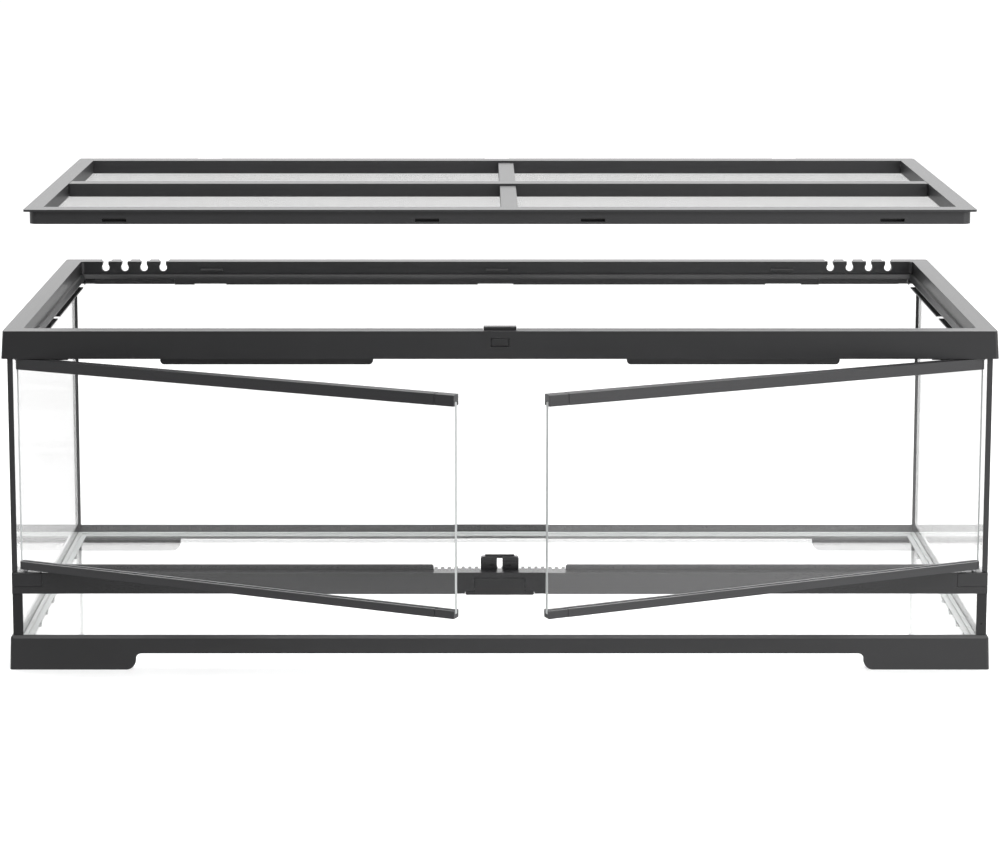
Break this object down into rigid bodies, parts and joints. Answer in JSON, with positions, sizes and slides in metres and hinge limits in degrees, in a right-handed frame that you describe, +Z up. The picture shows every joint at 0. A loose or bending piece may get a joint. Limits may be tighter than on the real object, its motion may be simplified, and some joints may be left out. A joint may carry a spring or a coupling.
{
  "type": "terrarium cabinet",
  "caption": "Low front-opening glass terrarium with black moulded frames, hinged glass doors over a vented sill, lift-off screen lid and closable cable notches.",
  "frame": {"origin": "on the floor, under the middle of the base and top frames", "axes": "+X to the right seen from the front and along the long side, +Y to the back, +Z up; the doors open towards -Y"},
  "size_m": [0.904, 0.6259, 0.424],
  "materials": {
    "frame_plastic": "fine moulded satin",
    "sill_plastic": "extruded satin",
    "lock_plastic": "moulded satin",
    "slide_plastic": "moulded satin",
    "tank_glass": "clear float glass, polished edges",
    "door_glass": "clear float glass, polished edges",
    "clear_silicone": "cured clear silicone, soft sheen",
    "silicone": "cured silicone, soft sheen",
    "edge_trim": "satin strip",
    "pin_steel": "drawn steel",
    "rail_plastic": "extruded satin",
    "lid_plastic": "fine moulded satin",
    "screen_wire": "woven wire"
  },
  "bodies": {
    "cabinet": {"base_frame": "frame_plastic", "bottom_glass": "tank_glass", "back_glass": "tank_glass", "left_glass": "tank_glass", "right_glass": "tank_glass", "front_glass": "tank_glass", "floor_seal": "clear_silicone", "front_seal_left": "silicone", "front_seal_right": "silicone", "back_seal_left": "silicone", "back_seal_right": "silicone", "edge_trim_left": "edge_trim", "edge_trim_right": "edge_trim", "top_frame": "frame_plastic", "top_hinge_left": "frame_plastic", "top_hinge_right": "frame_plastic", "sill_rail": "sill_plastic", "sill_end_left": "sill_plastic", "sill_end_right": "sill_plastic", "lock_pin": "pin_steel"},
    "door_left": {"door_left_glass": "door_glass", "door_left_top_rail": "rail_plastic", "door_left_bottom_rail": "rail_plastic", "door_left_top_striker": "rail_plastic", "door_left_bottom_striker": "rail_plastic", "door_left_top_pin": "pin_steel", "door_left_bottom_pin": "pin_steel"},
    "door_right": {"door_right_glass": "door_glass", "door_right_top_rail": "rail_plastic", "door_right_bottom_rail": "rail_plastic", "door_right_top_striker": "rail_plastic", "door_right_bottom_striker": "rail_plastic", "door_right_top_pin": "pin_steel", "door_right_bottom_pin": "pin_steel"},
    "lid": {"lid_frame": "lid_plastic", "lid_long_bar": "lid_plastic", "lid_cross_bar_front": "lid_plastic", "lid_cross_bar_back": "lid_plastic", "lid_screen": "screen_wire"},
    "door_lock": {"lock_lever": "lock_plastic", "lock_catch": "lock_plastic"},
    "lid_latch": {"lid_latch": "slide_plastic"},
    "cable_slide_left": {"cable_slide_left": "slide_plastic"},
    "cable_slide_right": {"cable_slide_right": "slide_plastic"}
  },
  "joints": [
    {"name": "door_left_hinge", "type": "hinge", "parent": "cabinet", "child": "door_left", "pos_m": [-0.4347, -0.2185, 0.19], "axis": [0, 0, -1], "range_deg": [-24, 81]},
    {"name": "door_right_hinge", "type": "hinge", "parent": "cabinet", "child": "door_right", "pos_m": [0.4347, -0.2185, 0.19], "axis": [0, 0, 1], "range_deg": [-24, 81]},
    {"name": "lid_lift", "type": "slide", "parent": "cabinet", "child": "lid", "axis": [0, 0, 1], "range_m": [-0.1192, 0.06]},
    {"name": "door_lock_turn", "type": "hinge", "parent": "cabinet", "child": "door_lock", "pos_m": [0, -0.211, 0.084], "axis": [1, 0, 0], "range_deg": [0, 6]},
    {"name": "lid_latch_slide", "type": "slide", "parent": "cabinet", "child": "lid_latch", "axis": [0, 1, 0], "range_m": [0, 0.0055]},
    {"name": "cable_slide_left_close", "type": "slide", "parent": "cabinet", "child": "cable_slide_left", "axis": [-1, 0, 0], "range_m": [0, 0.01]},
    {"name": "cable_slide_right_close", "type": "slide", "parent": "cabinet", "child": "cable_slide_right", "axis": [1, 0, 0], "range_m": [0, 0.01]}
  ]
}
